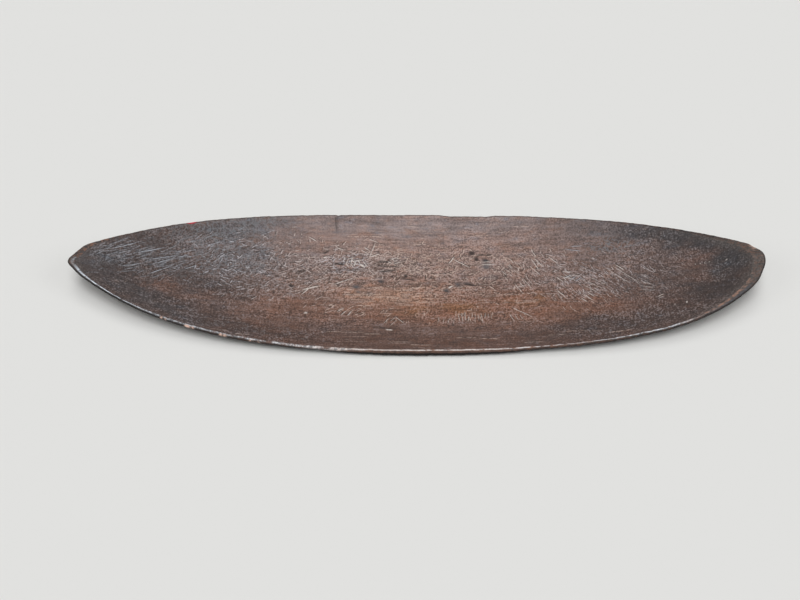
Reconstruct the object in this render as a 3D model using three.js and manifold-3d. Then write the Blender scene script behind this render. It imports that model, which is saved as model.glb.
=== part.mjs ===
// A shallow leaf-shaped serving tray, carved from one plank of hardwood.
//
// The tray is a thin shell: a long hollow that is deepest amidships, one rim that runs round both
// ends and rises towards them, and a rounded hull that is planed flat where the tray rests. The
// ends aren't a pair. One is drawn out to a narrow snub, and the other is broad and blunt.
//
// Millimetres, +Z up. X runs along the tray, from the narrow end to the broad one, and Y across it.
// The origin lies on the surface that the tray rests on, under the middle of its length and beam.
import * as THREE from "three";
import { mergeVertices } from "three/addons/utils/BufferGeometryUtils.js";
import Module from "manifold-3d";

// Overall sizes
const LENGTH = 1080;
const BEAM = 336;
const RIM_HEIGHT = 17; // top of the rim amidships, above the resting surface

// Hollow and wall
const HOLLOW_DEPTH = 11; // floor of the hollow below the rim, amidships
const END_HOLLOW_DEPTH = 5; // what is left of that depth at the ends
const HOLLOW_FADE = 4; // how late the hollow becomes shallow towards the ends, as a power
const FLOOR_THICKNESS = 6; // amidships, after the base is planed
const DISH_POWER = 3.6; // how late a cross-section turns up: 2 is an arc, more is a flatter floor

// Lip
const LIP_WIDTH = 5.5; // from the outline to the inner edge of the rim
const LIP_HEIGHT = 6.5; // of the outer face amidships, from the top of the rim to the hull
const END_LIP_HEIGHT = 4.5; // and at the ends, where the rim is carved thinner
const LIP_DRAFT = 1; // how far the outer face leans in on its way down
const LIP_ROUND = 2; // rounding of the lip's edges
const LIP_EASING = 0.8; // drop of the worn inner edge, where the lip runs into the hollow
const LEDGE_SLOPE = 0.25; // fall towards the hollow of the ledge that widens the lip at each end

// Base
const BASE_CUT = 2.5; // depth of hull that is planed away to make the flat base

// Each end: the nose is the furthest point, and a snub is cut slantwise on either side of it, as
// far as the shoulder where the long curve of the flank begins.
const NARROW_END = {
  towards: -1, // along X
  noseOffset: -10.5, // of the nose from the middle line, towards +Y
  noseRound: 5,
  snubLength: 20, // along X, from the nose to the shoulders
  frontBreadth: 39, // from the middle line to the shoulder on the -Y side
  backBreadth: 35.5, // and on the +Y side
  shoulderRound: 10,
  sweep: 38.5, // degrees between the flank and X at the shoulder
  shoulderReach: 200, // how far the flank's curve follows that line, as long as it stays within the beam
  middleReach: 180, // and how far it follows the line of the beam amidships
  rise: 41.5, // of the rim from amidships to the nose, as an even sheer
  kick: 6.5, // and as a late upturn
  ledge: 9, // how much wider the lip is at the nose than along the flanks
  ledgePower: 16, // how late it widens
};
const BROAD_END = {
  towards: 1,
  noseOffset: -10,
  noseRound: 12,
  snubLength: 16,
  frontBreadth: 59.5,
  backBreadth: 31.5,
  shoulderRound: 12,
  sweep: 43,
  shoulderReach: 156,
  middleReach: 212,
  rise: 35,
  kick: 19.5,
  ledge: 14,
  ledgePower: 8,
};
const KICK_POWER = 10; // how late the upturn comes
const SPINE_INSET = 120; // from each nose to the end of the line where the cross-sections meet

// Facets
const FLANK_STEPS = 24; // along each quarter of the outline
const SNUB_STEPS = 3;
const ROUND_STEPS = 3; // in each rounding, of the outline and of the lip
const HOLLOW_STEPS = 9; // from the spine to the lip
const HULL_STEPS = 8; // from the lip back to the spine

const half = LENGTH / 2;
const endAt = (x) => (x < 0 ? NARROW_END : BROAD_END);

// Height of the top of the rim at a station along the tray.
function rimLine(x) {
  const end = endAt(x);
  const share = Math.abs(x) / half;
  return RIM_HEIGHT + end.rise * share ** 2 + end.kick * share ** KICK_POWER;
}

// Height of the hollow's floor on the middle line.
function floorLine(x) {
  const fade = (Math.abs(x) / half) ** HOLLOW_FADE;
  return rimLine(x) - THREE.MathUtils.lerp(HOLLOW_DEPTH, END_HOLLOW_DEPTH, fade);
}

// Height of the hull's keel on the middle line, before the base is planed.
function keelLine(x) {
  return floorLine(x) - FLOOR_THICKNESS - BASE_CUT;
}

// The corners of one end of the outline, on the -Y side (side -1) or the +Y side (side 1).
function endPoints(end, side) {
  const breadth = side < 0 ? end.frontBreadth : end.backBreadth;
  const nose = new THREE.Vector2(end.towards * half, end.noseOffset);
  const shoulder = new THREE.Vector2(end.towards * (half - end.snubLength), side * breadth);
  const noseCorner = nose.clone().add(new THREE.Vector2(0, side * end.noseRound));
  const alongSnub = shoulder.clone().sub(noseCorner).normalize();
  const sweep = THREE.MathUtils.degToRad(end.sweep);
  const alongFlank = new THREE.Vector2(-end.towards * Math.cos(sweep), side * Math.sin(sweep));
  const reach = Math.min(end.shoulderReach, (BEAM / 2 - breadth) / Math.sin(sweep));
  return {
    nose,
    noseCorner,
    noseEnd: noseCorner.clone().addScaledVector(alongSnub, end.noseRound),
    snubEnd: shoulder.clone().addScaledVector(alongSnub, -end.shoulderRound),
    shoulder,
    flankStart: shoulder.clone().addScaledVector(alongFlank, end.shoulderRound),
    flankPull: shoulder.clone().addScaledVector(alongFlank, reach),
    middlePull: new THREE.Vector2(end.towards * end.middleReach, (side * BEAM) / 2),
  };
}

// One side of the outline, from the narrow nose to the broad one.
function sideOutline(side) {
  const a = endPoints(NARROW_END, side);
  const b = endPoints(BROAD_END, side);
  const middle = new THREE.Vector2(0, (side * BEAM) / 2);
  const path = new THREE.Path();
  path.moveTo(a.nose.x, a.nose.y);
  path.quadraticCurveTo(a.noseCorner.x, a.noseCorner.y, a.noseEnd.x, a.noseEnd.y);
  path.lineTo(a.snubEnd.x, a.snubEnd.y);
  path.quadraticCurveTo(a.shoulder.x, a.shoulder.y, a.flankStart.x, a.flankStart.y);
  path.bezierCurveTo(
    a.flankPull.x, a.flankPull.y, a.middlePull.x, a.middlePull.y, middle.x, middle.y,
  );
  path.bezierCurveTo(
    b.middlePull.x, b.middlePull.y, b.flankPull.x, b.flankPull.y, b.flankStart.x, b.flankStart.y,
  );
  path.quadraticCurveTo(b.shoulder.x, b.shoulder.y, b.snubEnd.x, b.snubEnd.y);
  path.lineTo(b.noseEnd.x, b.noseEnd.y);
  path.quadraticCurveTo(b.noseCorner.x, b.noseCorner.y, b.nose.x, b.nose.y);
  return path.curves;
}

// A list of curves that follow each other, as points with the steps that each kind of curve needs.
function pointsAlong(curves, lineSteps) {
  const steps = { LineCurve: lineSteps, QuadraticBezierCurve: ROUND_STEPS, CubicBezierCurve: FLANK_STEPS };
  return curves.flatMap((curve, i) => curve.getSpacedPoints(steps[curve.type]).slice(i ? 1 : 0));
}

// The outline as stations round the tray. Each has its point on the outline, its foot on the spine,
// the way from one to the other, and how much a step that way has to grow to be as wide as a step
// square to the outline. The two sides have their feet in common, so the surfaces close there.
function outlineStations() {
  const front = pointsAlong(sideOutline(-1), SNUB_STEPS);
  const back = pointsAlong(sideOutline(1), SNUB_STEPS);
  const reach = (half - SPINE_INSET) / half;
  const feet = front.map((p, i) => new THREE.Vector2(((p.x + back[i].x) / 2) * reach, 0));
  const inner = back.slice(1, -1).reverse();
  const points = [...front, ...inner];
  const footOf = [...feet, ...feet.slice(1, -1).reverse()];
  return points.map((point, i) => {
    const before = points[(i + points.length - 1) % points.length];
    const after = points[(i + 1) % points.length];
    const along = after.clone().sub(before).normalize();
    const inwards = new THREE.Vector2(-along.y, along.x);
    const way = footOf[i].clone().sub(point).normalize();
    return { point, foot: footOf[i], way, grow: 1 / inwards.dot(way) };
  });
}

// The profile of the lip's inner edge, from the hollow to the flat top. In both profiles x is the
// distance in from the outline, and y the height above the top of the rim, amidships.
function innerEdgeProfile() {
  const path = new THREE.Path();
  path.moveTo(LIP_WIDTH, -LIP_EASING);
  path.quadraticCurveTo(LIP_WIDTH - LIP_ROUND / 2, 0, LIP_WIDTH - LIP_ROUND, 0);
  return pointsAlong(path.curves, 1);
}

// The profile of the lip's outer edge and face, from the flat top to the hull.
function outerFaceProfile() {
  const path = new THREE.Path();
  path.moveTo(LIP_ROUND, 0);
  path.quadraticCurveTo(0, 0, 0, -LIP_ROUND);
  path.lineTo(LIP_DRAFT, LIP_ROUND - LIP_HEIGHT);
  path.quadraticCurveTo(LIP_DRAFT, -LIP_HEIGHT, LIP_DRAFT + LIP_ROUND, -LIP_HEIGHT);
  return pointsAlong(path.curves, 1);
}

// How much of its height amidships the lip still has at a station along the tray.
function lipShare(x) {
  return THREE.MathUtils.lerp(1, END_LIP_HEIGHT / LIP_HEIGHT, (Math.abs(x) / half) ** 2);
}

// How much the ledge adds to the lip's width at a station along the tray.
function ledgeWidth(x) {
  const end = endAt(x);
  return end.ledge * (Math.abs(x) / half) ** end.ledgePower;
}

// A ring of the lip: one point of a profile, carried round the outline. A ring of the inner edge is
// moved in by the ledge.
function lipRing(stations, profilePoint, onLedge) {
  return stations.map(({ point, way, grow }) => {
    const ledge = onLedge ? ledgeWidth(point.x) : 0;
    const at = point.clone().addScaledVector(way, (profilePoint.x + ledge) * grow);
    const z = rimLine(point.x) + profilePoint.y * lipShare(point.x) - ledge * LEDGE_SLOPE;
    return new THREE.Vector3(at.x, at.y, z);
  });
}

// A ring of the hollow or of the hull: a share of the way from the spine out to the lip's edge. On
// the spine its height is that of the middle line, and it turns up to meet the edge.
function dishRing(stations, edge, middleLine, share) {
  const turnUp = share ** DISH_POWER;
  return stations.map(({ foot }, i) => {
    const x = THREE.MathUtils.lerp(foot.x, edge[i].x, share);
    const y = THREE.MathUtils.lerp(foot.y, edge[i].y, share);
    return new THREE.Vector3(x, y, middleLine(x) + (edge[i].z - middleLine(edge[i].x)) * turnUp);
  });
}

// Skins rings of equally many points with triangles. The first and the last ring each lie folded on
// a line, so the skin closes there once its vertices are merged.
function skin(rings) {
  const around = rings[0].length;
  const index = [];
  for (let r = 0; r + 1 < rings.length; r++) {
    for (let i = 0; i < around; i++) {
      const a = r * around + i;
      const b = r * around + ((i + 1) % around);
      index.push(a, a + around, b, b, a + around, b + around);
    }
  }
  return new THREE.BufferGeometry().setFromPoints(rings.flat()).setIndex(index);
}

const wasm = await Module();
wasm.setup();

// A geometry as a solid: its vertices are merged, and slivers that lost a corner there are dropped.
function solidOf(geometry) {
  const bare = new THREE.BufferGeometry().setAttribute("position", geometry.getAttribute("position"));
  const merged = mergeVertices(bare.setIndex(geometry.getIndex()));
  const corners = merged.getIndex().array;
  const triangles = [];
  for (let i = 0; i < corners.length; i += 3) {
    const [a, b, c] = corners.slice(i, i + 3);
    if (a !== b && b !== c && c !== a) triangles.push(a, b, c);
  }
  const vertProperties = merged.getAttribute("position").array;
  return new wasm.Manifold(
    new wasm.Mesh({ numProp: 3, vertProperties, triVerts: new Uint32Array(triangles) }),
  );
}

// A solid as a geometry with flat facets.
function geometryOf(solid) {
  const { vertProperties, triVerts } = solid.getMesh();
  const geometry = new THREE.BufferGeometry()
    .setAttribute("position", new THREE.BufferAttribute(vertProperties, 3))
    .setIndex(new THREE.BufferAttribute(triVerts, 1))
    .toNonIndexed();
  geometry.computeVertexNormals();
  return geometry;
}

// The carved shell with a rounded hull: the hollow, the lip and the hull are one closed skin.
function carvedShell() {
  const stations = outlineStations();
  const lip = [
    ...innerEdgeProfile().map((p) => lipRing(stations, p, true)),
    ...outerFaceProfile().map((p) => lipRing(stations, p, false)),
  ];
  const innerEdge = lip[0];
  const outerEdge = lip[lip.length - 1];
  const hollow = [];
  for (let i = 0; i < HOLLOW_STEPS; i++) {
    hollow.push(dishRing(stations, innerEdge, floorLine, i / HOLLOW_STEPS));
  }
  const hull = [];
  for (let i = HULL_STEPS - 1; i >= 0; i--) {
    hull.push(dishRing(stations, outerEdge, keelLine, i / HULL_STEPS));
  }
  return solidOf(skin([...hollow, ...lip, ...hull]));
}

// What the plane takes off below the resting surface.
function planedAway() {
  const depth = 2 * BASE_CUT;
  const block = new THREE.BoxGeometry(LENGTH, BEAM, depth).translate(0, 0, -depth / 2);
  return solidOf(block);
}

// Dark hardwood with an old, handled patina
const wood = new THREE.MeshStandardMaterial({ color: 0x6f5548, roughness: 0.55, metalness: 0 });

const trayBody = new THREE.Mesh(geometryOf(carvedShell().subtract(planedAway())), wood);
trayBody.name = "tray_body";

const tray = new THREE.Group();
tray.add(trayBody);

export default tray;
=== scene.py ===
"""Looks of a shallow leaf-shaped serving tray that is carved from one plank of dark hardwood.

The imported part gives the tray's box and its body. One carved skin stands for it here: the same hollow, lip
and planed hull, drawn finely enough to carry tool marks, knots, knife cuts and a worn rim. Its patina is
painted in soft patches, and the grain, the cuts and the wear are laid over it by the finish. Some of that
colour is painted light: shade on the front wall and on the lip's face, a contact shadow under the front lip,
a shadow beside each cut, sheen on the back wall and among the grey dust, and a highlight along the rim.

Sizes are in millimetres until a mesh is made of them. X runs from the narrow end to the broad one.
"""

from __future__ import annotations

import logging
import math
import random
from collections.abc import Callable
from dataclasses import dataclass, field
from enum import Enum

import bpy
import numpy as np
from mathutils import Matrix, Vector, noise

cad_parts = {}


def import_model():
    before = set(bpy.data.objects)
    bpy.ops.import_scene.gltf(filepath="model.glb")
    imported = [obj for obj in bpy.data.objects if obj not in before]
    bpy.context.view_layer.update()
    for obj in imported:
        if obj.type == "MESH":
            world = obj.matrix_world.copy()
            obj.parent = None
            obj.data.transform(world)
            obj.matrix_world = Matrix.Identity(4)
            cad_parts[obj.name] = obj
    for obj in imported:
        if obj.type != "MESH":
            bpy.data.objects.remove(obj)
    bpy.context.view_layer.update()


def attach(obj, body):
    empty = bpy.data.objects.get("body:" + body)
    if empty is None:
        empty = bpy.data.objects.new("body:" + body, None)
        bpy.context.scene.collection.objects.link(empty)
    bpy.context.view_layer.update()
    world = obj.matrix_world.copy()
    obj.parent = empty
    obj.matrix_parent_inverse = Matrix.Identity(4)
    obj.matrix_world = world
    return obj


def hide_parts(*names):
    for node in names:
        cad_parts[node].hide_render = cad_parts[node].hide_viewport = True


LOG = logging.getLogger("shallow_tray")
MM = 0.001
CAD_NODE = "tray_body"

Colour = tuple[float, float, float]
Point = np.ndarray | tuple[float, float]
Line = Callable[[np.ndarray], np.ndarray]
Socket = bpy.types.NodeSocket
Settings = dict[str, object]
Inputs = dict[int | str, object]


# The finish


class Value:
    """A number inside a finish. Its operators add Math nodes to the same recipe."""

    def __init__(self, recipe: Recipe, socket: Socket) -> None:
        """Wraps a socket of the recipe."""
        self.recipe = recipe
        self.socket = socket

    def _math(self, operation: str, *terms: Value | float) -> Value:
        """Adds one Math node on the terms."""
        return self.recipe.number("Math", {"operation": operation}, dict(enumerate(terms)))

    def __add__(self, other: Value | float) -> Value:
        """The sum."""
        return self._math("ADD", self, other)

    def __radd__(self, other: float) -> Value:
        """The sum, with a plain number first."""
        return self._math("ADD", other, self)

    def __sub__(self, other: Value | float) -> Value:
        """The difference."""
        return self._math("SUBTRACT", self, other)

    def __rsub__(self, other: float) -> Value:
        """The difference, with a plain number first."""
        return self._math("SUBTRACT", other, self)

    def __mul__(self, other: Value | float) -> Value:
        """The product."""
        return self._math("MULTIPLY", self, other)

    def above(self, other: Value | float) -> Value:
        """The greater of the two."""
        return self._math("MAXIMUM", self, other)

    def below(self, other: Value | float) -> Value:
        """The smaller of the two."""
        return self._math("MINIMUM", self, other)

    def size(self) -> Value:
        """The number without its sign."""
        return self._math("ABSOLUTE", self)

    def ramp(self, start: Value | float, end: Value | float, low: float = 0.0, high: float = 1.0) -> Value:
        """Eases from one number to another while this value crosses a range.

        Args:
            start: where the change begins.
            end: where it is complete. It may be less than start.
            low: the result before the change.
            high: the result after it.

        Returns:
            The eased value.
        """
        settings = {"interpolation_type": "SMOOTHSTEP", "clamp": True}
        inputs = {"Value": self, "From Min": start, "From Max": end, "To Min": low, "To Max": high}
        return self.recipe.number("MapRange", settings, inputs)


class Recipe:
    """The nodes of one finish, or of the sky."""

    def __init__(self, owner: bpy.types.Material | bpy.types.World) -> None:
        """Starts the recipe with no nodes.

        Args:
            owner: what the nodes belong to.
        """
        self.owner = owner
        owner.use_nodes = True
        self.tree = owner.node_tree
        self.tree.nodes.clear()

    def node(self, kind: str, settings: Settings, inputs: Inputs) -> bpy.types.Node:
        """Adds a node.

        Args:
            kind: the node's type, after the word ShaderNode.
            settings: its own settings, which are set first.
            inputs: a number, a colour, a Value or a socket for each named or numbered input.

        Returns:
            The node.
        """
        made = self.tree.nodes.new(f"ShaderNode{kind}")
        for name, setting in settings.items():
            setattr(made, name, setting)
        for key, given in inputs.items():
            link = given.socket if isinstance(given, Value) else given
            if isinstance(link, Socket):
                self.tree.links.new(link, made.inputs[key])
            else:
                made.inputs[key].default_value = link
        return made

    def number(self, kind: str, settings: Settings, inputs: Inputs, output: int | str = 0) -> Value:
        """Adds a node and wraps one of its outputs as a number."""
        return Value(self, self.node(kind, settings, inputs).outputs[output])

    def painted(self, name: str) -> Value:
        """A number painted on the mesh."""
        return self.number("Attribute", {"attribute_name": name}, {}, "Fac")

    def painted_colour(self, name: str) -> Socket:
        """A colour painted on the mesh."""
        return self.node("Attribute", {"attribute_name": name}, {}).outputs["Color"]

    def stretched(self, at: Socket, size: Colour, turn: float = 0.0) -> Socket:
        """Turns and stretches a place, so that one unit of the result is so large on the tray.

        Args:
            at: the place in metres.
            size: millimetres to a unit along each axis.
            turn: degrees from the length of the tray.

        Returns:
            The place in units.
        """
        inputs = {"Vector": at, "Rotation": (0.0, 0.0, math.radians(turn)), "Scale": [s * MM for s in size]}
        return self.node("Mapping", {"vector_type": "TEXTURE"}, inputs).outputs[0]

    def clouds(self, at: Socket, size: Colour, detail: float, rough: float, turn: float = 0.0) -> Value:
        """Soft noise from 0 to 1 whose blots are about so many millimetres along each turned axis."""
        shape = {"Scale": 1.0, "Detail": detail, "Roughness": rough}
        return self.number("TexNoise", {}, {"Vector": self.stretched(at, size, turn), **shape})

    def parts(self, vector: Socket) -> tuple[Value, Value, Value]:
        """The three numbers of a vector."""
        split = self.node("SeparateXYZ", {}, {0: vector})
        return tuple(Value(self, split.outputs[i]) for i in range(3))

    def mixed(
        self, under: Socket | Colour, over: Socket | Colour, share: Value | float, how: str = "MIX"
    ) -> Socket:
        """Lays one colour over another.

        Args:
            under: the colour below.
            over: the colour above.
            share: how much of it shows.
            how: the way of blending.

        Returns:
            The mixed colour.
        """
        settings = {"data_type": "RGBA", "blend_type": how, "clamp_factor": True}
        under, over = (c if isinstance(c, Socket) else (*c, 1.0) for c in (under, over))
        return self.node("Mix", settings, {0: share, 6: under, 7: over}).outputs[2]

    def scaled(self, colour: Socket, by: Value | float) -> Socket:
        """Makes a colour lighter or darker, or a way longer or shorter."""
        return self.node("VectorMath", {"operation": "SCALE"}, {0: colour, "Scale": by}).outputs[0]

    def vector(self, operation: str, first: Socket, second: Socket | Colour) -> Socket:
        """Adds one Vector Math node on two vectors."""
        return self.node("VectorMath", {"operation": operation}, {0: first, 1: second}).outputs[0]


class Cuts(Enum):
    """What is painted in patches: families of knife cuts, states of the surface, and painted sheen among the
    dust.
    """

    ALONG = "cuts_along"
    RISING = "cuts_rising"
    FALLING = "cuts_falling"
    STEEP = "cuts_steep"
    ACROSS = "cuts_across"
    TANGLE = "cuts_tangle"
    SCRAPES = "scrapes"
    CURLS = "curls"
    DUST = "dust"
    ROUGH = "rough"
    FIBROUS = "fibrous"
    COOL = "coolness"
    HAIR_RISING = "hair_rising"
    HAIR_FALLING = "hair_falling"


@dataclass(frozen=True)
class CutFamily:
    """Thin straight cuts that run about one way, each in a cell of its own."""

    where: Cuts
    turn: float  # degrees from the length of the tray
    length: float  # of the cell that holds one cut, mm
    spacing: float  # from one cell to the next, across the cuts
    share: float  # of the cells that hold a cut, where the family is at its densest
    width: float = 1.7  # of a cut
    strength: float = 1.0
    lean: float = 0.5  # how far the cuts stray from their way

    def drawn(self, recipe: Recipe, at: Socket) -> tuple[Value, Value]:
        """Draws the family.

        Args:
            recipe: the finish it belongs to.
            at: the place in metres, a little unsteady.

        Returns:
            How much of a cut lies there, from 0 to 1, and of the painted shadow beside it.
        """
        cell = recipe.stretched(at, (self.length, self.spacing, 1000.0), self.turn)
        settings = {"voronoi_dimensions": "2D", "feature": "F1"}
        found = recipe.node("TexVoronoi", settings, {"Vector": cell, "Scale": 1.0, "Randomness": 1.0})
        chance, size, lean = recipe.parts(found.outputs["Color"])
        along, beside, _ = recipe.parts(recipe.vector("SUBTRACT", cell, found.outputs["Position"]))
        beside = beside * self.spacing + along * self.length * ((lean - 0.5) * self.lean)
        there = (recipe.painted(self.where.value) * self.share - chance).ramp(0.0, 0.10)
        there = there * along.size().ramp(0.62, 0.30) * (size * 0.6 + 0.4) * self.strength
        half = self.width / 2
        cut = beside.size().ramp(half * 1.3, half * 0.4) * there
        # The second value is a painted shadow along one side of the cut.
        return cut, beside.ramp(half * 0.5, half * 1.6) * beside.ramp(half * 4.0, half * 2.0) * there


class Ink(Enum):
    """What single marks are drawn with."""

    PALE = "pale"
    COOL = "cool"
    DARK = "dark"

    @property
    def batches(self) -> int:
        """How many times three layers its marks need."""
        return 3 if self is Ink.PALE else 1


@dataclass(frozen=True)
class Stroke:
    """One straight mark in the hollow, seen from above."""

    x: float
    y: float
    turn: float  # degrees from the length of the tray
    length: float
    width: float
    strength: float

    def measured(self, at: np.ndarray) -> tuple[np.ndarray, np.ndarray]:
        """Measures places from the middle of the mark.

        Args:
            at: places seen from above, mm.

        Returns:
            How far they are along the mark and to its side, mm.
        """
        turn = math.radians(self.turn)
        offset = at - (self.x, self.y)
        return offset @ (math.cos(turn), math.sin(turn)), offset @ (-math.sin(turn), math.cos(turn))


@dataclass(frozen=True)
class Marks:
    """One scratch, or a few that run side by side, seen from above."""

    x: float
    y: float
    turn: float  # degrees from the length of the tray
    length: float
    count: int = 1
    gap: float = 7.0  # from one to the next
    width: float = 1.7
    strength: float = 0.85

    def strokes(self) -> list[Stroke]:
        """Lays out the single scratches.

        Returns:
            One stroke for each.
        """
        if self.count == 1:
            return [Stroke(self.x, self.y, self.turn, self.length, self.width, self.strength)]
        dice = random.Random(f"{self.x} {self.y}")
        made = []
        for place in range(self.count):
            turn = self.turn + dice.uniform(-11, 11)
            way = Vector((math.cos(math.radians(turn)), math.sin(math.radians(turn))))
            side = way.orthogonal() * (place - (self.count - 1) / 2) * self.gap
            at = Vector((self.x, self.y)) + side + way * dice.uniform(-0.3, 0.3) * self.length
            length = self.length * dice.uniform(0.45, 1.1)
            made.append(Stroke(*at, turn, length, self.width, self.strength * dice.uniform(0.6, 1.1)))
        return made


@dataclass
class MarkLayers:
    """Marks of one ink, laid out on the vertices of the skin in three layers.

    A layer keeps for each vertex how many half widths it lies to the side of a mark, and how strong the mark
    is there. No two marks in a layer lie close together, so that the finish can draw a crisp line from both.
    """

    ink: Ink
    batch: int
    at: np.ndarray  # vertices seen from above, mm
    reach: float = 3.8  # more than from one vertex to the next
    sides: np.ndarray = field(init=False)
    shares: np.ndarray = field(init=False)

    def __post_init__(self) -> None:
        """Starts with empty layers."""
        self.sides = np.full((len(self.at), 3), np.nan)
        self.shares = np.zeros((len(self.at), 3))

    def draw(self, stroke: Stroke) -> bool:
        """Draws a mark on the first layer that has room for it.

        Args:
            stroke: the mark.

        Returns:
            Whether there was room.
        """
        along, side = stroke.measured(self.at)
        past = np.abs(along) - stroke.length / 2
        near = np.flatnonzero((past < self.reach * 2) & (np.abs(side) < self.reach * 2))
        for layer in range(3):
            if np.isnan(self.sides[near, layer]).all():
                half = stroke.width / 2
                self.sides[near, layer] = side[near] / half
                fade = np.clip(0.5 - past[near] / max(stroke.length * 0.3, 2.5), 0, 1)
                self.shares[near, layer] = stroke.strength * fade * (np.abs(side[near]) < self.reach)
                return True
        return False

    def store(self, mesh: bpy.types.Mesh) -> None:
        """Stores the layers as two vectors on each vertex.

        Args:
            mesh: the skin.
        """
        for name, values in {"side": np.nan_to_num(self.sides, nan=9.0), "share": self.shares}.items():
            layer = mesh.attributes.new(f"{self.ink.value}_{self.batch}_{name}", "FLOAT_VECTOR", "POINT")
            layer.data.foreach_set("vector", values.astype(np.float32).ravel())

    @staticmethod
    def drawn(recipe: Recipe, ink: Ink, batch: int) -> tuple[Value, Value]:
        """Draws the marks that were stored.

        Args:
            recipe: the finish they belong to.
            ink: what they are drawn with.
            batch: which three layers.

        Returns:
            How much of a mark lies there, and of the painted shadow beside it.
        """
        sides, shares = (
            recipe.parts(recipe.painted_colour(f"{ink.value}_{batch}_{name}")) for name in ("side", "share")
        )
        line = cut_shadow = None
        for side, share in zip(sides, shares):
            one = side.size().ramp(1.3, 0.4) * share
            # A painted shadow along one side of the mark.
            edge = side.ramp(0.6, 1.6) * side.ramp(4.0, 2.0) * share
            line, cut_shadow = (one, edge) if line is None else (line.above(one), cut_shadow.above(edge))
        return line, cut_shadow


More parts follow.
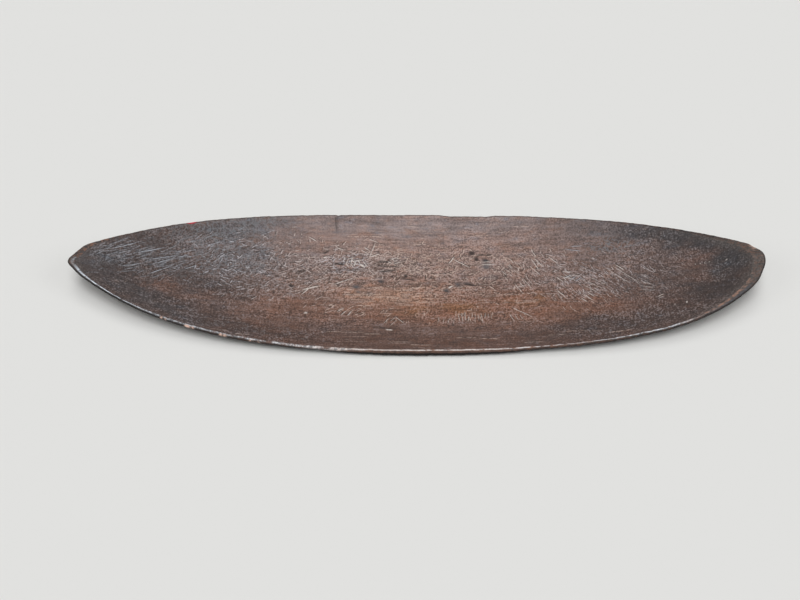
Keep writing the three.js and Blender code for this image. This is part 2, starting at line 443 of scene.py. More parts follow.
@dataclass(frozen=True)
class PatinatedHardwood:
    """Dark hardwood, dry and handled: long grain, knife cuts with painted shadows beside them, dust mixed
    with painted sheen, and a rubbed rim with a painted highlight and painted shade on its face.
    """

    haze: Colour = (0.178, 0.173, 0.182)
    warmth: Colour = (1.09, 0.98, 0.90)
    coolness: Colour = (0.90, 1.0, 1.10)
    cut_pale: Colour = (0.58, 0.44, 0.365)
    cut_cool: Colour = (0.50, 0.50, 0.54)
    mark_pale: Colour = (0.62, 0.56, 0.52)
    mark_cool: Colour = (0.36, 0.38, 0.42)
    # Near-black for knots, slits and settled dirt, and for painted shade beside the cuts and on the lip's
    # face.
    soot_and_shade: Colour = (0.014, 0.011, 0.011)
    # Near-black for the painted contact shadow under the front lip.
    contact_shadow: Colour = (0.003, 0.0025, 0.0025)
    slate: Colour = (0.066, 0.070, 0.080)
    # Cool grey for dust, and for painted sheen where it lies over the hollow.
    dust: Colour = (0.175, 0.185, 0.200)
    # Pale for the rubbed crest of the lip, and cool white for its painted highlight.
    lip_cream: Colour = (0.52, 0.44, 0.40)
    lip_highlight: Colour = (0.70, 0.76, 0.83)
    bare: Colour = (0.215, 0.105, 0.068)
    chip: Colour = (0.54, 0.37, 0.30)
    ledge: Colour = (0.080, 0.071, 0.067)
    edge: Colour = (0.27, 0.165, 0.125)
    trace: Colour = (0.62, 0.01, 0.04)
    hull: Colour = (0.072, 0.047, 0.039)
    hull_worn: Colour = (0.125, 0.078, 0.058)
    drift: float = 7.0  # how far a line strays from its way, mm
    relief: float = 1.1  # of the grain, mm
    families: tuple[CutFamily, ...] = (
        CutFamily(Cuts.ALONG, 1, 34, 6.0, 0.9, 2.2, 0.7, 0.12),
        CutFamily(Cuts.RISING, 32, 19, 6.0, 0.9),
        CutFamily(Cuts.RISING, 50, 14, 5.0, 0.8),
        CutFamily(Cuts.FALLING, -44, 15, 5.0, 0.9, 1.4, 0.85, 0.6),
        CutFamily(Cuts.FALLING, -57, 12, 4.5, 0.8, 1.4, 0.85, 0.6),
        CutFamily(Cuts.STEEP, -66, 14, 5.0, 0.9, 1.4, 0.9),
        CutFamily(Cuts.ACROSS, 88, 12, 5.0, 0.9),
        CutFamily(Cuts.TANGLE, -28, 12, 6.0, 0.9, 1.8, 1.0, 0.9),
        CutFamily(Cuts.TANGLE, 62, 12, 5.5, 0.9, 1.8, 1.0, 0.9),
        CutFamily(Cuts.TANGLE, 15, 13, 5.5, 0.9, 2.0, 1.0, 0.9),
    )
    scrapes: tuple[CutFamily, ...] = (
        CutFamily(Cuts.SCRAPES, 30, 30, 6.0, 0.9, 2.0, 0.9, 0.3),
        CutFamily(Cuts.SCRAPES, 38, 18, 5.0, 0.8, 1.8, 0.8, 0.6),
    )

    @staticmethod
    def _together(drawn: list[tuple[Value, Value]]) -> tuple[Value, Value]:
        """Lays several kinds of cuts over each other.

        Args:
            drawn: how much of each kind lies there, and of the painted shadow beside it.

        Returns:
            The same for all of them.
        """
        pale, cut_shadow = drawn[0]
        for cut, edge in drawn[1:]:
            pale, cut_shadow = pale.above(cut), cut_shadow.above(edge)
        return pale, cut_shadow

    def material(self) -> bpy.types.Material:
        """Makes the finish.

        Returns:
            The material.
        """
        r = Recipe(bpy.data.materials.new("patinated hardwood"))
        place = r.node("TexCoord", {}, {}).outputs["Object"]
        drift = r.node("TexNoise", {}, {"Vector": place, "Scale": 34.0, "Detail": 1.0}).outputs["Color"]
        drift = r.scaled(r.vector("SUBTRACT", drift, (0.5, 0.5, 0.5)), self.drift * MM)
        unsteady = r.vector("ADD", place, drift)

        across = r.painted("across")
        hollow = across.ramp(1.04, 0.98)
        under = across.ramp(1.97, 2.1)
        lip = (1 - hollow) * (1 - under)
        rough_here = r.painted(Cuts.ROUGH.value)

        # Long fibres, and crisp mottling where the surface is worn open
        fibres = r.clouds(unsteady, (90.0, 7.0, 7.0), 3.0, 0.6)
        pores = r.clouds(place, (24.0, 4.4, 4.4), 2.0, 0.6)
        speck = r.clouds(place, (2.7, 3.5, 3.5), 1.0, 0.5)
        grit = r.clouds(place, (5.4, 7.4, 7.4), 1.0, 0.5)
        thread = r.clouds(unsteady, (13.0, 4.2, 4.2), 2.0, 0.6)
        blots = r.clouds(unsteady, (56.0, 34.0, 34.0), 4.0, 0.6)
        fibrous = r.painted(Cuts.FIBROUS.value)
        risen = r.clouds(unsteady, (15.0, 3.8, 3.8), 2.0, 0.6, 31.0)
        fallen = r.clouds(unsteady, (14.0, 3.8, 3.8), 2.0, 0.6, -43.0)
        risen = (risen - 0.5) * r.painted(Cuts.HAIR_RISING.value)
        hair = risen + (fallen - 0.5) * r.painted(Cuts.HAIR_FALLING.value)
        mottle = (speck - 0.5) * (4.6 - fibrous * 1.4) + (grit - 0.5) * 0.7
        mottle = mottle + (thread - 0.5) * fibrous * 2.2 + hair * 3.0
        grain = ((fibres - 0.5) * 1.5 + (pores - 0.5) * 0.9) * (fibrous * 0.75 + 0.25)
        tone = 1 + mottle * rough_here * blots.ramp(0.3, 0.7, 0.55, 1.4) + grain + (blots - 0.5) * 0.9
        patina = r.painted_colour("patina")
        colour = r.scaled(patina, tone.above(0.45).below(1.2) * 0.97)
        hazy = r.scaled(r.mixed(patina, self.haze, 0.34), 1.9)
        colour = r.mixed(colour, hazy, (tone - 1.0).ramp(0.1, 1.0) * 0.8)

        drifting = r.clouds(unsteady, (26.0, 13.0, 13.0), 4.0, 0.7)
        colour = r.mixed(colour, self.warmth, drifting.ramp(0.50, 0.66), "MULTIPLY")
        colour = r.mixed(colour, self.coolness, drifting.ramp(0.46, 0.34), "MULTIPLY")

        # Grey dust in the open pores and in curls, partly painted sheen
        pale_speckle = (speck + (grit - 0.5) * 0.6).ramp(0.52, 0.68)
        swirl = r.clouds(unsteady, (9.0, 11.0, 11.0), 1.5, 0.5) - 0.5
        curl = (swirl * swirl).ramp(0.0040, 0.0004) * r.painted(Cuts.CURLS.value)
        scrapes, scrape_shadow = self._together([family.drawn(r, unsteady) for family in self.scrapes])
        sheen_and_dust = (pale_speckle * r.painted(Cuts.DUST.value)).above(curl * 0.8)
        colour = r.mixed(colour, self.dust, sheen_and_dust * (1 - under) * 0.7)
        colour = r.mixed(colour, self.mark_cool, scrapes * speck.ramp(0.3, 0.6, 0.2, 0.6) * hollow)

        # Cuts: pale along their floor, with a painted shadow along one side, and dark where dirt has settled
        pale, cut_shadow = self._together([family.drawn(r, unsteady) for family in self.families])
        cut_shadow = cut_shadow.above(scrape_shadow * 0.6)
        dirt = r.clouds(place, (9.0, 7.0, 7.0), 2.0, 0.6).ramp(0.45, 0.34)
        glint = speck.ramp(0.30, 0.56, 0.25, 1.0)
        cool = r.painted(Cuts.COOL.value)
        # Painted shadow along one side of each cut and scrape.
        colour = r.mixed(colour, self.soot_and_shade, cut_shadow * (1 - pale) * 0.6 * hollow)
        cut_colour = r.mixed(self.cut_pale, self.cut_cool, cool)
        colour = r.mixed(colour, cut_colour, pale * (1 - dirt) * 0.85 * glint * hollow)
        colour = r.mixed(colour, self.soot_and_shade, pale * dirt * 0.75 * hollow)
        pits = r.painted("pits")
        colour = r.mixed(colour, self.soot_and_shade, (pits * (0.7 + speck * 0.6)).ramp(0.15, 0.85) * 0.9)
        colour = r.mixed(colour, self.slate, r.painted("slate") * (0.5 + grit))
        # Single marks, each with a painted shadow along one side.
        for ink, paint in {Ink.DARK: self.soot_and_shade, Ink.COOL: self.mark_cool, Ink.PALE: self.mark_pale}.items():
            mark, edge = self._together([MarkLayers.drawn(r, ink, batch) for batch in range(ink.batches)])
            colour = r.mixed(colour, self.soot_and_shade, edge * 0.6 * hollow)
            colour = r.mixed(colour, paint, mark * (glint * 0.5 + 0.5) * hollow)

        # The lip: rubbed pale on top with a painted highlight, dark on its face partly from painted shade,
        # bare in places, with a painted contact shadow at the front, and left broad at both ends
        rub = r.clouds(place, (11.0, 7.0, 7.0), 3.0, 0.7)
        ledge = r.painted("ledge")
        top = across + r.painted("lip_in")
        strip = r.painted("strip")
        dressed = r.mixed(self.ledge, self.bare, r.painted("lip_bare") * rub.ramp(0.5, 0.66) * 0.35)
        dressed = r.mixed(dressed, self.slate, strip * across.ramp(1.30, 1.42) * 0.9)
        colour = r.mixed(colour, r.scaled(dressed, tone), ledge * across.ramp(0.80, 1.16) * (1 - under) * 0.9)
        rubbed = strip * across.ramp(1.08, 1.18) * across.ramp(1.40, 1.28) * rub.ramp(0.42, 0.60)
        colour = r.mixed(colour, self.edge, rubbed * (0.5 + grit))
        face = top.ramp(1.62, 1.72)
        front, lip_dark_and_shade = r.painted("front"), r.painted("lip_dark_and_shade")
        # The lip's face is darkened: partly dark wood, partly painted shade under the rim.
        colour = r.mixed(colour, self.soot_and_shade, lip_dark_and_shade * face * 0.96)
        colour = r.mixed(colour, self.soot_and_shade, r.painted("back_line") * across.ramp(1.15, 1.4) * 0.6)
        # Painted contact shadow: near-black on the lower face of the front lip, where it nearly meets the
        # floor.
        foot = front * across.ramp(1.70, 1.78) * across.ramp(2.25, 2.1)
        flaked = r.clouds(place, (7.0, 4.5, 4.5), 2.0, 0.7)
        bared = r.painted("lip_bare") * across.ramp(1.12, 1.26) * (1 - ledge * 0.6)
        colour = r.mixed(colour, self.bare, bared * flaked.ramp(0.45, 0.58))
        wide = r.painted("lip_wide") * 0.2
        # The crest along the top of the lip: partly rubbed pale wood, partly a painted highlight, cool white
        # in places.
        crest = top.ramp(1.43 - wide, 1.50 - wide) * top.ramp(1.63 + wide * 0.7, 1.57 + wide * 0.5)
        flecked = wide * 5.0 * (speck + (grit - 0.5) * 0.5).ramp(0.56, 0.44)
        worn_and_highlit = r.painted("lip_wear_and_highlight") * crest * rub.ramp(0.34, 0.54) * (0.5 + grit)
        cream = r.mixed(self.lip_cream, self.lip_highlight, r.painted("lip_cool_highlight"))
        cream = r.mixed(cream, self.dust, flecked * 0.85)
        colour = r.mixed(colour, cream, worn_and_highlit)
        chips = r.painted("chips")
        colour = r.mixed(colour, self.chip, chips * across.ramp(1.25, 1.4) * flaked.ramp(0.35, 0.5))
        colour = r.mixed(colour, self.trace, r.painted("red_trace") * lip)
        colour = r.mixed(colour, self.contact_shadow, foot * 0.97)

        # The hull: adzed, with rubbed ridges and a scuffed flat
        scuff = r.clouds(place, (40.0, 4.0, 8.0), 4.0, 0.65).ramp(0.5, 0.7) * r.painted("scuffed")
        below = r.mixed(self.hull, self.hull_worn, blots.ramp(0.40, 0.62))
        below = r.mixed(below, self.soot_and_shade, drifting.ramp(0.44, 0.32) * 0.6)
        below = r.scaled(below, 0.3 + fibres * 0.6 + pores * 0.5 + speck * 0.4)
        below = r.mixed(below, self.dust, scuff * 0.6)
        colour = r.mixed(colour, below, under * (1 - foot))
        # Painted shade: near-black on the front lip's face and the hull just below it where the lip is dark,
        # except on the chips.
        shaded = lip_dark_and_shade * front * face * across.ramp(2.4, 2.1) * (1 - chips)
        colour = r.mixed(colour, self.contact_shadow, shaded * 0.7)

        height = fibres * 0.35 + pores * 0.25 + speck * 0.25 + grit * 0.25 + rub * lip * 0.5
        bump = r.node("Bump", {}, {"Strength": 1.0, "Distance": self.relief * MM, "Height": height})
        rough = (0.60 - fibres * 0.12 + speck * 0.14 - worn_and_highlit * 0.1 + pits * 0.2 + foot * 0.3).below(0.9)
        inputs = {"Base Color": colour, "Roughness": rough, "Normal": bump.outputs[0]}
        shader = r.node("BsdfPrincipled", {}, {**inputs, "IOR": 1.45, "Specular IOR Level": 0.35})
        r.node("OutputMaterial", {}, {"Surface": shader.outputs[0]})
        return r.owner


# The carved skin


class Tone(Enum):
    """Colours of the patina, as light that the wood gives back."""

    DIM_BROWN = (0.044, 0.0315, 0.0295)
    ROSY_GREY = (0.214, 0.150, 0.134)
    PALE_BROWN = (0.298, 0.198, 0.168)
    PEACH = (0.350, 0.205, 0.145)
    WORN_BROWN = (0.205, 0.125, 0.100)
    WARM_BROWN = (0.184, 0.088, 0.057)
    DEEP_BROWN = (0.113, 0.060, 0.045)
    OCHRE = (0.290, 0.120, 0.032)
    BACK_GREY = (0.225, 0.193, 0.194)
    BLUE_GREY = (0.090, 0.087, 0.094)
    SLATE = (0.031, 0.030, 0.033)
    SOOT = (0.026, 0.021, 0.021)


@dataclass(frozen=True)
class Patch:
    """A soft-edged oval on the tray, seen from above."""

    x: float
    y: float
    length: float
    width: float
    strength: float = 1.0
    turn: float = 0.0  # degrees

    def weight(self, at: np.ndarray) -> np.ndarray:
        """How much of the patch lies on each place.

        Args:
            at: places seen from above, mm.

        Returns:
            Weights from 0 to the patch's strength.
        """
        turn = math.radians(self.turn)
        dx, dy = at[:, 0] - self.x, at[:, 1] - self.y
        along = (math.cos(turn) * dx + math.sin(turn) * dy) / (self.length / 2)
        over = (math.cos(turn) * dy - math.sin(turn) * dx) / (self.width / 2)
        return self.strength / (1 + (along**2 + over**2) ** 2)


@dataclass(frozen=True)
class Pit:
    """A knot or a hole in the hollow."""

    x: float
    y: float
    radius: float
    depth: float
    dark: float = 1.0
    slate: float = 0.0  # how blue its floor is


@dataclass(frozen=True)
class Dip:
    """A stretch of the rim that is worn or broken lower."""

    side: int  # -1 for the front, 1 for the back
    x: float  # of its middle
    reach: float  # to either side
    depth: float

    def sunk(self, at: np.ndarray) -> np.ndarray:
        """How much lower it makes each place of the rim."""
        here = (self.reach - np.abs(at[:, 0] - self.x)) / min(self.reach, 14.0)
        return self.depth * np.clip(here, 0, 1) * (at[:, 1] * self.side > 0)


@dataclass(frozen=True)
class Relief:
    """A texture that is pressed into part of the skin."""

    name: str
    kind: str  # of texture
    cell: Colour  # how large one unit of it is along each axis, mm
    depth: float  # from its lowest to its highest, mm
    level: float  # the height in it that leaves the skin where it is
    group: str  # the vertices that it acts on
    settings: Settings


@dataclass(frozen=True)
class Waver:
    """An uneven line such as a hand tool leaves along an edge."""

    lengths: tuple[float, ...]  # of the waves that it is made of, mm
    phase: float
    depth: float  # from its lowest to its highest, mm

    def along(self, run: np.ndarray) -> np.ndarray:
        """Draws the line.

        Args:
            run: distances along the edge, mm.

        Returns:
            Its height at each of them, mm.
        """
        shifts = [self.phase * (i + 1.7) for i in range(len(self.lengths))]
        waves = [np.sin(run / length * math.tau + shift) for length, shift in zip(self.lengths, shifts)]
        return (0.5 + 0.5 * sum(waves) / len(waves)) * self.depth


@dataclass(frozen=True)
class Stir:
    """Noise that shifts places, so that what is painted there comes out ragged."""

    length: float  # of its blots, mm
    width: float
    plane: float  # where the noise is cut

    def at(self, flat: np.ndarray) -> np.ndarray:
        """The shift of each place seen from above, from -1 to 1 along X and Y."""
        found = (noise.noise_vector((x / self.length, y / self.width, self.plane)) for x, y in flat)
        return np.array([shift[:2] for shift in found])


@dataclass(frozen=True)
class TrayEnd:
    """One end of the tray. A snub is cut slantwise on either side of the nose, as far as the shoulders."""

    towards: float  # along X
    nose_offset: float  # of the nose from the middle line
    nose_round: float
    snub_length: float
    front_breadth: float  # from the middle line to the front shoulder
    back_breadth: float
    shoulder_round: float
    sweep: float  # degrees between the flank and X at the shoulder
    shoulder_reach: float
    middle_reach: float
    rise: float  # of the rim to the nose, as an even sheer
    kick: float  # and as a late upturn
    ledge: float  # how much wider the lip is at the nose
    ledge_power: float


def quadratic(a: Point, b: Point, c: Point, share: np.ndarray) -> np.ndarray:
    """Points on a curve with one control point."""
    t = share[:, None]
    return (1 - t) ** 2 * a + 2 * t * (1 - t) * b + t**2 * c


def cubic(a: Point, b: Point, c: Point, d: Point, share: np.ndarray) -> np.ndarray:
    """Points on a curve with two control points."""
    t = share[:, None]
    return (1 - t) ** 3 * a + 3 * t * (1 - t) ** 2 * b + 3 * t**2 * (1 - t) * c + t**3 * d


def unit(v: np.ndarray) -> np.ndarray:
    """Vectors of length one."""
    return v / np.linalg.norm(v, axis=-1, keepdims=True)


def read(items: bpy.types.bpy_prop_collection, key: str, size: int) -> np.ndarray:
    """Reads one property of many items.

    Args:
        items: such as vertices.
        key: the property's name.
        size: how many numbers it has.

    Returns:
        A row of numbers for each item.
    """
    values = np.empty(len(items) * size, np.float32)
    items.foreach_get(key, values)
    return values.astype(float).reshape(-1, size)


# What was placed, in mm, seen from above


# Each is laid over the ones before it
TONES: tuple[tuple[Tone | Patch, ...], ...] = (
    (Tone.ROSY_GREY, Patch(4, 66, 660, 310)),
    (Tone.PALE_BROWN, Patch(-5, 110, 330, 110, 0.55)),
    (Tone.WORN_BROWN, Patch(10, 4, 520, 90, 0.6)),
    (Tone.WARM_BROWN, Patch(75, -62, 570, 86, 0.8), Patch(-200, -50, 110, 44, 0.35),
     Patch(200, -30, 200, 80, 0.3)),
    (Tone.PEACH, Patch(-42, -26, 130, 40, 0.85)),
    (Tone.OCHRE, Patch(68, -58, 50, 20, 0.35), Patch(-2, -60, 40, 16, 0.3), Patch(187, -36, 36, 18, 0.3),
     Patch(155, -48, 36, 16, 0.15)),
    (Tone.PALE_BROWN, Patch(115, 50, 190, 60, 0.5)),
    (Tone.ROSY_GREY, Patch(240, 8, 130, 46, 0.6)),
    (Tone.DIM_BROWN, Patch(-345, -18, 110, 56, 0.6), Patch(-405, 90, 150, 50, 0.5, 30)),
    (Tone.WARM_BROWN, Patch(-225, -104, 120, 44, 0.3)),
    # The first of these, blue-grey on the back wall of the broad third, is partly painted sheen.
    (Tone.BLUE_GREY, Patch(290, 116, 180, 40, 0.3, -14), Patch(-505, 10, 60, 50, 0.55)),
    # The next two darken the front wall of the hollow, partly with painted shade where it faces away from the
    # light.
    (Tone.DEEP_BROWN, Patch(10, -150, 760, 60, 0.85)),
    (Tone.DIM_BROWN, Patch(300, -112, 260, 60, 0.5, 12), Patch(-300, -108, 240, 40, 0.4, -14)),
    # Paler grey along the back wall, and blue-grey on the back wall and floor of the narrow third: partly
    # painted sheen.
    (Tone.BACK_GREY, Patch(10, 142, 440, 46, 0.6)),
    (Tone.BLUE_GREY, Patch(-286, 120, 150, 52, 0.75, 18), Patch(-275, 44, 100, 70, 0.5),
     Patch(-400, -78, 190, 26, 0.35, -30)),
    (Tone.SOOT, Patch(-425, 8, 150, 80, 0.5, 18), Patch(448, 62, 90, 34, 0.5, -28)),
    (Tone.SLATE, Patch(-478, 24, 50, 36, 0.4), Patch(-425, -50, 90, 34, 0.4, -24)),
    (Tone.WARM_BROWN, Patch(-392, -24, 50, 22, 0.35), Patch(-340, -46, 60, 24, 0.3)),
    (Tone.DIM_BROWN, Patch(-290, -36, 60, 40, 0.5)),
    (Tone.SLATE, Patch(400, 94, 190, 44, 0.75, -21)),
    (Tone.WARM_BROWN, Patch(436, 20, 50, 26, 0.3), Patch(436, -14, 40, 22, 0.25)),
    (Tone.SLATE, Patch(493, 14, 70, 70, 0.85)),
    (Tone.SOOT, Patch(460, -48, 110, 56, 0.7, 14)),
    (Tone.DIM_BROWN, Patch(378, -22, 130, 80, 0.4)),
)
CUT_PATCHES: dict[Cuts, tuple[Patch, ...]] = {
    Cuts.ALONG: (
        Patch(-40, -36, 150, 50, 0.75), Patch(60, -30, 300, 60, 0.5), Patch(20, 90, 420, 120, 0.2),
        Patch(20, -140, 560, 60, 0.30),
    ),
    Cuts.RISING: (
        Patch(-145, -4, 150, 90, 0.3), Patch(-95, -62, 80, 30, 0.5), Patch(60, 50, 100, 50, 0.5),
        Patch(-250, 10, 200, 110, 0.12),
    ),
    Cuts.FALLING: (
        Patch(290, 5, 120, 64, 0.5), Patch(262, -32, 90, 50, 0.5), Patch(190, 38, 130, 70, 0.35),
        Patch(345, 30, 150, 90, 0.12),
    ),
    Cuts.STEEP: (
        Patch(163, 42, 90, 50, 0.45), Patch(206, 62, 60, 44, 0.4), Patch(238, -14, 64, 46, 0.35),
    ),
    Cuts.ACROSS: (
        Patch(90, -80, 80, 30, 0.6), Patch(-30, -80, 60, 30, 0.5), Patch(-185, 108, 70, 60, 0.25),
    ),
    Cuts.TANGLE: (
        Patch(-97, 50, 110, 50), Patch(-36, 58, 80, 36), Patch(20, 20, 460, 140, 0.22),
        Patch(-250, 40, 200, 120, 0.25),
    ),
    Cuts.SCRAPES: (
        Patch(-370, 48, 220, 74, 0.65, 20), Patch(-465, 35, 80, 50, 0.7),
    ),
    Cuts.CURLS: (
        Patch(-280, 56, 150, 100, 0.8), Patch(-300, 125, 200, 50, 0.7, 15), Patch(312, 82, 60, 40),
        Patch(355, -20, 80, 50, 0.3), Patch(-420, 20, 200, 100, 0.25),
    ),
    # Grey dust and painted sheen, heaviest on the narrow third.
    Cuts.DUST: (
        Patch(-340, 60, 400, 200, 0.08), Patch(-225, 10, 180, 100, 0.3), Patch(-500, 14, 80, 60, 0.3),
        Patch(-275, 54, 120, 70, 0.35), Patch(50, 20, 560, 180, 0.15), Patch(320, 20, 240, 200, 0.15),
        Patch(330, -112, 200, 40, 0.25, 12), Patch(-240, -120, 240, 44, 0.4, -12),
    ),
    Cuts.ROUGH: (
        Patch(0, 0, 1300, 600, 0.4), Patch(30, 20, 640, 170, 0.6), Patch(-380, 20, 300, 200, 0.25),
        Patch(400, 0, 260, 260, 0.2), Patch(-42, -28, 120, 40, -0.15), Patch(0, -84, 520, 44, 0.4),
        Patch(-225, -112, 160, 50, 0.4), Patch(-90, 112, 280, 70, -0.35),
        Patch(-310, -108, 380, 60, 0.5, -15), Patch(330, -112, 260, 60, 0.5, 12),
    ),
    Cuts.FIBROUS: (
        Patch(20, 0, 560, 420, 0.9), Patch(-280, -80, 300, 80, 0.5, -14),
    ),
    Cuts.HAIR_RISING: (
        Patch(-360, 54, 250, 100, 0.5, 20), Patch(-465, 30, 90, 60, 0.8), Patch(440, -84, 200, 60, 0.7, 34),
    ),
    Cuts.HAIR_FALLING: (
        Patch(270, 0, 160, 110, 0.8), Patch(-410, -62, 240, 70, 0.8, -38), Patch(400, 100, 220, 70, 0.5, -26),
    ),
    Cuts.COOL: (
        Patch(-400, 40, 400, 300), Patch(-98, 54, 80, 44, 0.9), Patch(300, 20, 260, 140, 0.7),
    ),
}
PITS = (
    Pit(89, 79, 6, 1.6), Pit(97, 63, 5, 1.4), Pit(110, 60, 5.5, 1.4, 1.0, 0.4),
    Pit(112, 45, 7, 0.8, 0.2, 0.9), Pit(-195, -8, 5, 1.4), Pit(-222, -26, 3, 0.8),
    Pit(-94, -5, 6, 1.0, 0.4, 0.9), Pit(-91, -18, 4, 0.8, 0.4, 0.8), Pit(-55, 10, 7, 1.0, 0.7, 0.5),
    Pit(-16, 24, 4.5, 1.0, 0.9), Pit(-38, 20, 3.5, 0.8, 0.8), Pit(66, 2, 6, 1.0, 0.6, 0.7),
    Pit(80, 4, 5, 0.8, 0.4, 0.7), Pit(47, -13, 6, 1.0, 0.8, 0.5),
)
SCRATCHES: dict[Ink, tuple[Marks, ...]] = {
    Ink.PALE: (
        # Round the knots before the middle
        Marks(-166, 108, -37, 14), Marks(-121, 87, -25, 9), Marks(-70, 84, 74, 34, strength=0.6),
        Marks(-68, 108, -30, 14, strength=0.6), Marks(-81, 85, -31, 15, 2, 8), Marks(-66, 73, 24, 16),
        Marks(-85, 47, -40, 8, width=4.5, strength=1.0), Marks(-145, 65, 20, 5, width=4.0, strength=1.0),
        Marks(-98, 58, 10, 14, 3, 8), Marks(-100, 52, -62, 13, 4, 7),
        Marks(-106, 56, 76, 16, 4, 6.5, strength=1.0), Marks(-88, 50, -46, 15, 3, 7, strength=1.0),
        Marks(-33, 60, 30, 12, 3, 6), Marks(-36, 62, -50, 9, 3, 8), Marks(-113, 8, 32, 31),
        Marks(-166, -12, 23, 23, width=3.0), Marks(-173, -20, 56, 16, strength=1.0),
        Marks(-171, -73, 0, 4, width=5.5, strength=1.0), Marks(-111, -68, 49, 13, 3, 8),
        Marks(-39, -88, 54, 19, 3, 6, width=1.5, strength=0.7),
        Marks(-26, -86, -52, 18, width=1.5, strength=0.6), Marks(-42, -111, -10, 9, width=3.0, strength=1.0),
        # Round the knots past the middle
        Marks(57, 61, 61, 17, strength=1.0), Marks(72, 53, -41, 28),
        Marks(54, -5, 36, 6, width=3.6, strength=1.0), Marks(111, 53, 11, 21, 2, 7),
        Marks(144, 34, -59, 22, 3, 8, strength=0.7), Marks(152, 50, -62, 18, 2, 7, strength=0.6),
        Marks(188, 74, -72, 18, strength=0.7), Marks(191, 41, -60, 24, 3, 8, strength=0.8),
        Marks(166, -3, -56, 22, 3, 9, strength=0.7), Marks(217, 56, -47, 20, strength=0.7),
        Marks(226, -28, -56, 18, strength=0.7), Marks(243, 16, -18, 22, 3, 8, strength=0.9),
        Marks(232, 10, -50, 14, 3, 7, strength=0.7), Marks(163, -70, -40, 32, width=1.8, strength=0.6),
        Marks(88, -80, 88, 19, 12, 5.0, width=1.4, strength=0.55),
        Marks(46, -86, 84, 13, 4, 8, width=1.4, strength=0.5),
        Marks(157, -80, -66, 16, 4, 7, width=1.4, strength=0.6),
        # On the broad third
        Marks(321, 28, -49, 15, strength=1.0), Marks(322, 10, -43, 50, 2, 11, width=1.4, strength=0.65),
        Marks(280, -12, -43, 30, 3, 11, width=1.5, strength=0.65),
        Marks(269, -43, -52, 22, 3, 8, width=1.5, strength=0.8), Marks(360, -24, -20, 24, 3, 8, strength=0.5),
        Marks(381, -50, 16, 13, 2, 5, strength=0.7), Marks(449, 16, 86, 2.0, 4, 7, width=2.2, strength=0.7),
        Marks(485, 12, 40, 2.0, width=2.6, strength=0.8), Marks(415, -73, 70, 4, width=2.6, strength=0.9),
        Marks(397, -74, 80, 2, width=2.2, strength=0.6),
    ),
    Ink.COOL: (
        Marks(-462, 49, 31, 34), Marks(-458, 38, 30, 20, strength=0.6), Marks(-423, 49, 27, 34),
        Marks(-400, 33, 34, 36, 2, 8), Marks(-400, 8, 38, 36), Marks(-446, 11, 20, 30, strength=0.6),
        Marks(-375, 48, 32, 32, 2, 9, strength=0.6), Marks(-355, 21, 31, 18), Marks(250, 81, -6, 24, 2, 9),
        Marks(247, 8, 38, 16, 3, 8, strength=1.0), Marks(257, 12, 60, 7, 2, 6, width=3.2, strength=1.0),
    ),
    Ink.DARK: (
        Marks(-181, 29, 25, 12, width=4.5), Marks(-143, 78, 41, 11, width=4.5),
        Marks(-122, 49, -3, 17, width=4.5, strength=1.0), Marks(-50, 58, 7, 20, width=5.0),
        Marks(-45, 34, 8, 27, width=5.0), Marks(84, 0, -16, 17, width=5.5, strength=1.0),
        Marks(-44, 46, -4, 36, width=3.6, strength=0.8), Marks(-12, 14, -14, 24, width=3.6, strength=0.8),
        Marks(-100, 36, 6, 24, width=3.4, strength=0.7), Marks(108, 72, 4, 22, width=3.6, strength=0.8),
        Marks(104, -2, -6, 20, width=3.4, strength=0.7), Marks(-129, 146, -86, 34, width=3.0, strength=0.6),
    ),
}
DIPS = (
    Dip(1, 83, 46, 2.2), Dip(1, -126, 4, 1.6), Dip(1, 528, 8, 1.6), Dip(-1, -379, 5, 1.3),
)
CHIPS = (
    Patch(-388, -118, 4, 14), Patch(-381, -122, 3, 14, 0.8), Patch(-348, -133, 9, 14),
    Patch(-339, -136, 4, 12, 0.8), Patch(-297, -145, 4, 14), Patch(-290, -147, 6, 12, 0.7),
    Patch(-250, -154, 6, 14), Patch(-238, -156, 3, 12, 0.8), Patch(527, 30, 8, 30),
)
RED_TRACE = Patch(-364, 127, 24, 16)  # on the back rim
SCUFFED = Patch(5, 0, 330, 210)  # the flat of the hull
# What the tools left
RELIEFS = (
    Relief("scraped", "CLOUDS", (70, 34, 34), 1.3, 0.5, "hollow", {"noise_depth": 1}),
    Relief("raised fibres", "CLOUDS", (60, 5, 5), 0.55, 0.5, "hollow", {"noise_depth": 2}),
    Relief("adzed", "VORONOI", (46, 26, 26), 1.6, 0.9, "hull", {"distance_metric": "DISTANCE_SQUARED"}),
)
# Where along the lip, and how pale and highlit, how cool its painted highlight, how bare, and how dark and
# shaded it looks there
LIP_LOOKS = ("lip_wear_and_highlight", "lip_cool_highlight", "lip_bare", "lip_dark_and_shade")
FRONT_LIP = np.array((
    (-540, 0.1, 0.6, 0.3, 1.0), (-522, 0.6, 1.0, 0.0, 1.0), (-505, 1.0, 1.0, 0.0, 1.0),
    (-465, 1.0, 1.0, 0.0, 1.0), (-440, 0.8, 1.0, 0.0, 1.0), (-415, 0.6, 0.9, 0.1, 1.0),
    (-330, 0.6, 0.8, 0.2, 0.9), (-290, 0.7, 0.7, 0.3, 0.8), (-190, 0.8, 0.5, 0.5, 0.7),
    (-120, 0.9, 0.1, 0.5, 0.3), (120, 0.9, 0.2, 0.5, 0.2), (200, 0.9, 0.5, 0.5, 0.5),
    (260, 1.0, 0.5, 0.4, 0.7), (380, 1.0, 0.8, 0.4, 0.8), (425, 0.5, 0.1, 0.5, 0.9),
    (445, 0.1, 0.0, 0.2, 1.0), (505, 0.0, 0.0, 0.2, 1.0), (522, 0.0, 0.0, 0.5, 0.9),
    (540, 0.0, 0.0, 0.5, 0.8),
))
